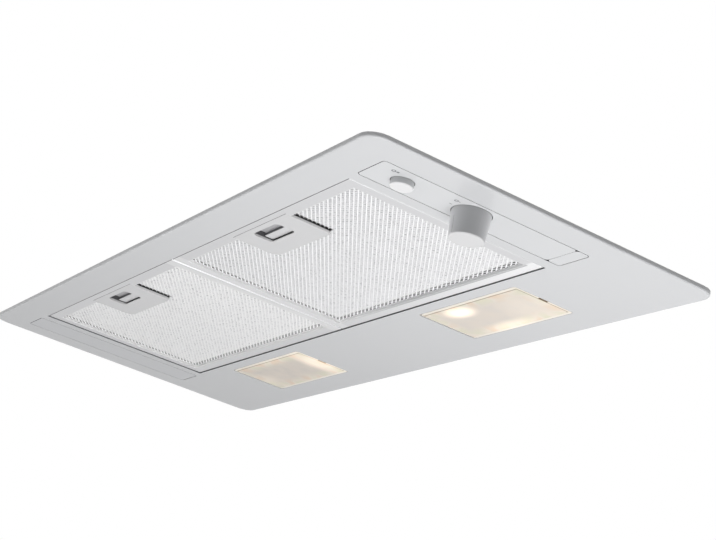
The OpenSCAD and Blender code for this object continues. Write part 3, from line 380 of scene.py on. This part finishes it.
# Grey of each filter's strands: the right filter's is a touch darker, as painted shade
STRAND_GREYS = {"left": WHITE, "right": "#f7f7f8"}


def strand_aluminium(name, side):
    """Stretched strands: their oxide film scatters light, which bare metal doesn't."""
    return rolled_aluminium(name, STRAND_GREYS[side], 0.4, metallic=0.0)


# Width and colour of the band of painted shade beside a frame's left (-X) and back rails
CORE_SHADE_WIDTH = 4.5 * MM
NET_EDGE_SHADE = "#0c0c0e"
# Greys of the net's cells, at their borders and inside, at each filter's front and at its back:
# the darker insides and the darker fronts are painted shade
NET_GREYS = {
    "left": (("#f6f6f7", "#c0c0c2"), ("#f8f8f9", "#c4c4c6")),
    "right": (("#e2e2e4", "#b8b8ba"), ("#fcfcfd", "#d2d2d4")),
}


def packed_net(name, side):
    """Net layers behind a filter's face: grey aluminium strands in each other's painted shade.

    A band of painted shade runs along the frame's left and back rails, and the net is painted
    lighter towards each filter's back."""
    material, tree, shader = new_material(name, 0.5)
    low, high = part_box(f"filter_core_{side}")
    middle, half = middle_and_half(f"filter_core_{side}")
    inset = FRAME_RAIL - FRAME_SHEET + CORE_SHADE_WIDTH / 2
    moved = middle + Vector((CORE_SHADE_WIDTH / 2, -CORE_SHADE_WIDTH / 2, 0))
    # Painted shade in a band along the frame's left and back rails
    edge = past(tree, past_rectangle(tree, moved, half), -inset, 0, 0.6)
    layers = cells(tree, 2.6, "DISTANCE_TO_EDGE", 0.7)["Distance"]
    # Cells painted darker inside, as shade, and painted lighter from front to back, most on the right filter
    front, back = [colour_ramp(tree, layers, [(0.05, border), (0.3, inside)])
                   for border, inside in NET_GREYS[side]]
    net = blend(tree, ramp(tree, place_of(tree)[1], (low.y, high.y)), front, back)
    tree.links.new(blend(tree, edge, net, NET_EDGE_SHADE), shader.inputs["Base Color"])
    tree.links.new(ramp(tree, edge, (0, 1), (0.6, 0.0)), shader.inputs["Metallic"])
    bump(tree, shader, layers, 0.4, 0.4)
    return material


def galvanised_steel(name):
    """Hot-dipped zinc on steel: flat crystals, or spangle, each with its own grey and sheen."""
    material, tree, shader = new_material(name, 0.4, 1.0)
    spangle = cells(tree, 11, "F1", 1.0)["Color"]
    grey = colour_ramp(tree, spangle, [(0.0, "#8d9194"), (0.5, "#a3a7a9"), (1.0, "#b8bcbd")])
    tree.links.new(grey, shader.inputs["Base Color"])
    tree.links.new(ramp(tree, spangle, (0, 1), (0.34, 0.52)), shader.inputs["Roughness"])
    return material


def zinc_plate(name, dark, light, rough):
    """Bright zinc plating on small steel parts: slightly cloudy."""
    material, tree, shader = new_material(name, rough, 1.0)
    tone = colour_ramp(tree, noise(tree, 4), [(0.35, dark), (0.65, light)])
    tree.links.new(tone, shader.inputs["Base Color"])
    return material


# Lamps of the hood. Base colour of a lamp cover, whose left one is painted a shade darker, and the
# spots of painted glow on it from the bulb: a place from its middle, how far each reaches along X
# and Y, all in mm, and its strength
COVERS = {
    "left": ("#c6bfb8", [((54, 0), (26, 46), 0.4), ((-50, 8), (20, 24), 0.1), ((10, -24), (60, 12), 0.1)]),
    "right": ("#d6cfc8", [((-25, -15), (27, 14), 0.75), ((-6, 22), (48, 13), 0.3), ((42, 8), (50, 40), 0.1)]),
}
# The hinge pins stand out at a cover's front and back, so its rim is measured this far inside
# its box there
RIM_INSET = 1.9 * MM


def lit_spot(tree, centre, reach_mm, strength):
    """Round or oval painted glow that fades to nothing at its reach."""
    away = vector_math(tree, "SUBTRACT", object_place(tree), centre)[0]
    away = vector_math(tree, "MULTIPLY", away, (1 / (reach_mm[0] * MM), 1 / (reach_mm[1] * MM), 0))[0]
    distance = vector_math(tree, "LENGTH", away)["Value"]
    return ramp(tree, distance, (0.0, 1.0), (strength, 0.0), "SMOOTHERSTEP")


def frosted_cover(name, side):
    """Frosted polycarbonate in front of a lamp: warm, its painted glow brightest before the bulb's tip.

    Painted stray light gives it pale orange and green patches towards its rim, which is lighter, and a
    fine line of painted shade runs inside the rim at its front and at its control end."""
    colour, spots = COVERS[side]
    material, tree, shader = new_material(name, 0.35)
    middle, half = middle_and_half(f"lens_cover_{side}")
    half = Vector((half.x, half.y - RIM_INSET, half.z))
    front, end = middle.y - half.y, middle.x + half.x
    x, y = place_of(tree)[:2]
    reach = past_rectangle(tree, middle, half)
    tint = blend(tree, noise(tree, 14, 3.0), colour, "#e4d8ca")
    stray = colour_ramp(tree, noise(tree, 16, 1.0), [(0.35, "#ecc9a2"), (0.5, "#f4ead8"), (0.62, "#dfe0bc")])
    # Painted stray light: pale orange and green patches towards the rim
    tint = blend(tree, ramp(tree, reach, (-16 * MM, -3 * MM), (0.0, 0.5)), tint, stray)
    line = both_of(tree, past(tree, reach, 0, -3.6, -3.2), past(tree, reach, 0, -2.4, -2.8))
    at_front_or_end = more_of(tree, past(tree, y, front, 5, 4), past(tree, x, end, -5, -4))
    # A fine line of painted shade inside the rim at the front and the control end
    tint = blend(tree, both_of(tree, line, at_front_or_end), tint, "#93836f")
    tint = blend(tree, past(tree, reach, 0, -2.2, -1.6), tint, "#f4ede2")
    tree.links.new(tint, shader.inputs["Base Color"])
    # Painted glow from the bulb, in spots on the cover
    power = 0.0
    for place, reach_mm, strength in spots:
        centre = middle + Vector((place[0] * MM, place[1] * MM, 0))
        power = number_math(tree, "ADD", power, lit_spot(tree, centre, reach_mm, strength))
    shader.inputs["Emission Color"].default_value = linear("#ffecd0")
    tree.links.new(power, shader.inputs["Emission Strength"])
    return material


def lit_bulb(name):
    """Frosted glass of a lit candle bulb."""
    material, tree, shader = new_material(name, 0.3)
    shader.inputs["Base Color"].default_value = linear("#fff4e0")
    shader.inputs["Emission Color"].default_value = linear("#ffdca0")
    haze = noise(tree, 9)
    tree.links.new(ramp(tree, haze, (0, 1), (1.2, 1.8)), shader.inputs["Emission Strength"])
    return material


# Finishes, each with the carried CAD nodes that have it, apart from those that differ by side
# Knob and button: sides with painted shade and a painted sheen, end faces painted lighter
KNOB = knob_abs("moulded_abs_knob", "speed_knob", "#9c9d9f", "#f0f0f2", "#d6d6d7")
BUTTON = knob_abs("moulded_abs_button", "light_button", "#b2b3b5", "#d2d3d4", "#e6e6e7")
MARK_INK = moulded_abs("grey_mark_ink", "#6a6c70", 0.5, 0.3)
FINISHES = {
    panel_enamel("satin_enamel_panel", "#d2d3d5", 0.2): ["bottom_panel"],
    strip_abs("moulded_abs_strip", "#d6d7d9", 0.26): ["control_strip", "control_strip_end"],
    strip_abs("moulded_abs_blank_strip", "#c9cacd", 0.26): ["blank_strip"],
    KNOB: ["speed_knob"],
    BUTTON: ["light_button"],
    latch_abs("moulded_abs_latch", "#d6d6d7"): ["latch_left", "latch_right"],
    galvanised_steel("galvanised_casing"): ["lower_frame", "motor_box"],
    zinc_plate("zinc_plated_steel", "#afb2b4", "#cfd2d4", 0.3): [
        "panel_nuts", "box_screws", "collar_screws", "terminal_screws", "knob_shaft", "fan_shaft",
        "motor_bracket", "capacitor_clip"],
    zinc_plate("spring_steel", "#797d82", "#8f9499", 0.35): ["cabinet_clips"],
    satin_enamel("white_enamel_tray", "#eeede8", 0.4): ["lamp_housing_left", "lamp_housing_right"],
    moulded_abs("moulded_abs_white", "#e2e2de", 0.45): ["control_box", "capacitor"],
    moulded_abs("moulded_abs_ivory", "#d8d0b4", 0.45): ["rotary_switch", "light_switch"],
    moulded_abs("glazed_porcelain", "#efece2", 0.2): ["lamp_holder_left", "lamp_holder_right"],
    lit_bulb("lit_frosted_glass"): ["bulb_left", "bulb_right"],
    moulded_abs("moulded_abs_scroll", "#c2c5c8", 0.5): [
        "scroll_left", "scroll_right", "inlet_ring_left", "inlet_ring_right"],
    rolled_aluminium("pressed_aluminium_wheel", "#c9ccd0", 0.4): ["impeller"],
    satin_enamel("dark_enamel_motor", "#3a3e44", 0.45): ["motor"],
    moulded_abs("moulded_nylon_black", "#1f2022", 0.5): [
        "duct_collar", "damper_flap_front", "damper_flap_back", "terminal_box", "terminal_cover",
        "cable_gland", "gland_nut"],
}


def dress(node, material):
    """Gives a carried CAD node its finish."""
    mesh = NODES[node].data
    mesh.materials.clear()
    mesh.materials.append(material)


# Pieces made here
def made(name, mesh_source, material):
    """Makes an object of a bmesh, in place."""
    mesh = bpy.data.meshes.new(name)
    mesh_source.to_mesh(mesh)
    mesh_source.free()
    mesh.materials.append(material)
    piece = bpy.data.objects.new(name, mesh)
    bpy.context.scene.collection.objects.link(piece)
    return piece


def finished(name, mesh_source, material, body):
    """Makes an object of a bmesh, in place, and lets it ride on a body."""
    piece = made(name, mesh_source, material)
    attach(piece, body)
    return piece


def join_loops(mesh, first, second):
    """Faces between two loops of as many points."""
    for i in range(len(first)):
        j = (i + 1) % len(first)
        mesh.faces.new((first[i], first[j], second[j], second[i]))


# Face mesh of a filter: diamonds of the size that shows in the photograph, the width and tilt
# of their strands, and the open gap beside the handle plate
MESH_LONG = 5.95 * MM
MESH_SHORT = 3.56 * MM
MESH_STRAND = 1.1 * MM
MESH_TILT = 0.2 * MM
HANDLE_GAP = 2 * MM


def stretched_mesh(side):
    """A grid that is turned, stretched to diamonds and cut to the filter's face."""
    low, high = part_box(f"filter_mesh_{side}")
    plate_low, plate_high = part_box(f"handle_plate_{side}")
    cell_count = math.ceil((high.x - low.x) / MESH_LONG) + math.ceil((high.y - low.y) / MESH_SHORT) + 2
    diagonal = math.sqrt(2)
    mesh = bmesh.new()
    bmesh.ops.create_grid(mesh, x_segments=cell_count, y_segments=cell_count, size=cell_count / 2)
    bmesh.ops.rotate(mesh, verts=mesh.verts, matrix=Matrix.Rotation(math.radians(45), 3, "Z"))
    bmesh.ops.scale(mesh, verts=mesh.verts, vec=(MESH_LONG / diagonal, MESH_SHORT / diagonal, 1))
    bmesh.ops.translate(mesh, verts=mesh.verts, vec=(low + high) / 2)
    for point, normal in (((low.x, 0, 0), (-1, 0, 0)), ((high.x, 0, 0), (1, 0, 0)),
                          ((0, low.y, 0), (0, -1, 0)), ((0, high.y, 0), (0, 1, 0))):
        bmesh.ops.bisect_plane(mesh, geom=mesh.verts[:] + mesh.edges[:] + mesh.faces[:],
                               plane_co=point, plane_no=normal, clear_outer=True)
    at_plate = [f for f in mesh.faces
                if plate_low.x < f.calc_center_median().x < plate_high.x + HANDLE_GAP
                and f.calc_center_median().y < plate_high.y]
    bmesh.ops.delete(mesh, geom=at_plate, context="FACES")
    inset = bmesh.ops.inset_individual(mesh, faces=mesh.faces[:], thickness=MESH_STRAND / 2,
                                       depth=-MESH_TILT, use_even_offset=True)
    strands = set(inset["faces"])
    bmesh.ops.delete(mesh, geom=[f for f in mesh.faces if f not in strands], context="FACES")
    material = strand_aluminium(f"stretched_aluminium_mesh_{side}", side)
    piece = finished(f"face_mesh_{side}", mesh, material, f"filter_{side}")
    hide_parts(f"filter_mesh_{side}")


# Small printed marks on the control strip, in mm from a control's middle: rings with their
# outer radius, and bars from one corner to the other
MARKS = {
    "light_button": ([((9.7, -13.2), 1.7)], [((8.9, -10.9), (10.9, -9.2))]),
    "speed_knob": ([((8.6, -18.6), 1.6)], [((0.4, -19.2), (1.2, -16.9)), ((8.2, -16.6), (9.0, -15.4))]),
}
# How far a mark stands out, its hole's share of a ring's radius, and the sides of a ring
MARK_RAISE = 0.04 * MM
MARK_HOLE = 0.55
MARK_SIDES = 24


def strip_marks():
    mesh = bmesh.new()
    height = PANEL_FACE - MARK_RAISE

    def points(middle, places):
        return [mesh.verts.new((middle.x + x * MM, middle.y + y * MM, height)) for x, y in places]

    def circle(middle, place, radius):
        turns = [2 * math.pi * i / MARK_SIDES for i in range(MARK_SIDES)]
        return points(middle, [(place[0] + radius * math.cos(turn), place[1] + radius * math.sin(turn))
                               for turn in turns])

    for control, (rings, bars) in MARKS.items():
        middle = middle_and_half(control)[0]
        for place, radius in rings:
            join_loops(mesh, circle(middle, place, radius * MARK_HOLE), circle(middle, place, radius))
        for (x0, y0), (x1, y1) in bars:
            mesh.faces.new(points(middle, [(x0, y0), (x0, y1), (x1, y1), (x1, y0)]))
    finished("strip_marks", mesh, MARK_INK, "housing")


# Raised line on the knob: how far its root lies below the panel's face and its end above the
# knob's end, and how much less than the knob's radius the side measures at each
POINTER_ROOT = 6 * MM
POINTER_END = 0.8 * MM
POINTER_ROOT_TAPER = 0.5 * MM
POINTER_END_TAPER = 1.5 * MM
# Half the line's width, how far it stands out and sits in the side, and its rounding
POINTER_HALF = 0.8 * MM
POINTER_RAISE = 0.25 * MM
POINTER_SINK = 0.4 * MM
POINTER_BEVEL = 0.15 * MM


def knob_pointer():
    """Raised line on the knob's side that shows the chosen speed."""
    low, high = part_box("speed_knob")
    middle = (low + high) / 2
    knob_radius = (high.x - low.x) / 2
    section = ((-POINTER_HALF, POINTER_SINK), (-POINTER_HALF, -POINTER_RAISE),
               (POINTER_HALF, -POINTER_RAISE), (POINTER_HALF, POINTER_SINK))
    ends = ((PANEL_FACE - POINTER_ROOT, POINTER_ROOT_TAPER),
            (low.z + POINTER_END, POINTER_END_TAPER))
    mesh = bmesh.new()
    loops = []
    for z, taper in ends:
        side = middle.y - (knob_radius - taper)
        loops.append([mesh.verts.new((middle.x + x, side + y, z)) for x, y in section])
    join_loops(mesh, *loops)
    mesh.faces.new(loops[1])
    mesh.faces.new(loops[0][::-1])
    bmesh.ops.recalc_face_normals(mesh, faces=mesh.faces)
    bmesh.ops.bevel(mesh, geom=mesh.edges[:], offset=POINTER_BEVEL, affect="EDGES",
                    segments=2, profile=0.5, material=-1)
    finished("knob_pointer", mesh, KNOB, "knob")


# Camera, lamps and room
def facing(place, aim):
    """Puts a camera or lamp at a place and turns it to face a point."""
    turn = (Vector(aim) - Vector(place)).to_track_quat("-Z", "Y").to_matrix().to_4x4()
    return Matrix.Translation(place) @ turn


def set_camera():
    camera = bpy.data.objects.new("camera", bpy.data.cameras.new("camera"))
    camera.data.lens = CAMERA_LENS
    camera.data.clip_end = CAMERA_REACH
    camera.matrix_world = facing(CAMERA_PLACE, CAMERA_AIM) @ Matrix.Rotation(CAMERA_ROLL, 4, "Z")
    bpy.context.scene.collection.objects.link(camera)
    bpy.context.scene.camera = camera


def soft_lamp(name, place, aim, width, watts):
    lamp = bpy.data.objects.new(name, bpy.data.lights.new(name, "AREA"))
    lamp.data.shape = "DISK"
    lamp.data.size = width
    lamp.data.energy = watts
    lamp.visible_camera = False
    lamp.matrix_world = facing(place, aim)
    bpy.context.scene.collection.objects.link(lamp)


def rays(tree, kind):
    """1 for the rays of one kind."""
    return add(tree, "ShaderNodeLightPath").outputs[f"Is {kind} Ray"]


def gloss_rays(tree):
    return rays(tree, "Glossy")


def shown_rays(tree):
    """1 for the rays by which the camera sees a background, straight or in gloss and glass."""
    seen = more_of(tree, rays(tree, "Camera"), gloss_rays(tree))
    return more_of(tree, seen, rays(tree, "Transmission"))


def choose(tree, factor, first, second):
    """The first number where the factor is 0, the second where it is 1."""
    return add(tree, "ShaderNodeMix", None, {"Factor": factor, "A": first, "B": second}).outputs["Result"]


def set_world():
    """White behind the object; the room is darker towards the control end, as gloss shows."""
    world = bpy.data.worlds.new("studio")
    bpy.context.scene.world = world
    world.use_nodes = True
    tree = world.node_tree
    tree.nodes.clear()
    way = add(tree, "ShaderNodeTexCoord").outputs["Generated"]
    turned = vector_math(tree, "DOT_PRODUCT", way, ROOM_DARK_SIDE)["Value"]
    light = ramp(tree, turned, ROOM_TURN, ROOM_LEVELS, "SMOOTHSTEP")
    gloss = ramp(tree, turned, GLOSS_TURN, GLOSS_LEVELS, "SMOOTHSTEP")
    strength = choose(tree, shown_rays(tree), light, gloss)
    strength = choose(tree, rays(tree, "Camera"), strength, 1.0)
    room = add(tree, "ShaderNodeBackground", None, {"Color": linear(WHITE), "Strength": strength})
    add(tree, "ShaderNodeOutputWorld", None, {"Surface": room.outputs[0]})


def paper(name, hex_colour, white_for):
    """A background surface: plain paper that glows white for some rays. Gives its glow too."""
    material, tree, shader = new_material(name, 0.9)
    shader.inputs["Base Color"].default_value = linear(hex_colour)
    glow = add(tree, "ShaderNodeEmission", None, {"Color": linear(WHITE), "Strength": 1.0})
    both = add(tree, "ShaderNodeMixShader", None,
               {"Fac": white_for(tree), 1: shader.outputs[0], 2: glow.outputs[0]})
    tree.links.new(both.outputs[0], tree.nodes["Material Output"].inputs["Surface"])
    return material, glow


def lay_floor():
    """The room's floor, well below the hood; it keeps the hood's faint shadow."""
    material, glow = paper("floor_paper", "#f2f2f2", gloss_rays)
    tree = material.node_tree
    level = ramp(tree, place_of(tree)[0], FLOOR_GLOW_X, FLOOR_GLOW, "SMOOTHSTEP")
    tree.links.new(level, glow.inputs["Strength"])
    mesh = bmesh.new()
    bmesh.ops.create_grid(mesh, x_segments=1, y_segments=1, size=FLOOR_HALF)
    bmesh.ops.translate(mesh, verts=mesh.verts, vec=(0, 0, FLOOR_Z))
    floor = made("floor", mesh, material)


def hang_cabinet_board():
    """The bottom board of the wall cabinet that the hood is built into, with its cut-out.

    It rests on the flange and hides the casing from below, as in the photograph."""
    hole_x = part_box("cabinet_clips")[1].x + BOARD_ROOM
    hole_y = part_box("lower_frame")[1].y + BOARD_ROOM
    corners = ((-1, -1), (1, -1), (1, 1), (-1, 1))
    mesh = bmesh.new()
    hole, rim = [[mesh.verts.new((sx * x, sy * y, BOARD_Z)) for sx, sy in corners]
                 for x, y in ((hole_x, hole_y), (BOARD_X, BOARD_Y))]
    join_loops(mesh, hole, rim)
    bmesh.ops.solidify(mesh, geom=mesh.faces[:], thickness=-BOARD_T)
    board = made("cabinet_board", mesh, paper("cabinet_board_laminate", "#6a6a6a", shown_rays)[0])


for material, nodes in FINISHES.items():
    for node in nodes:
        dress(node, material)
for side in ("left", "right"):
    dress(f"lens_cover_{side}", frosted_cover(f"frosted_polycarbonate_{side}", side))
    dress(f"handle_plate_{side}", handle_abs(f"moulded_abs_handle_{side}", "#d2d2d3", side))
    dress(f"filter_frame_{side}", frame_aluminium(f"rolled_aluminium_frame_{side}", side))
    dress(f"filter_core_{side}", packed_net(f"packed_aluminium_net_{side}", side))
    stretched_mesh(side)
strip_marks()
knob_pointer()

set_camera()
set_world()
lay_floor()
hang_cabinet_board()
for name, lamp in LAMPS.items():
    soft_lamp(name, *lamp)
bpy.context.scene.view_settings.view_transform = "Standard"
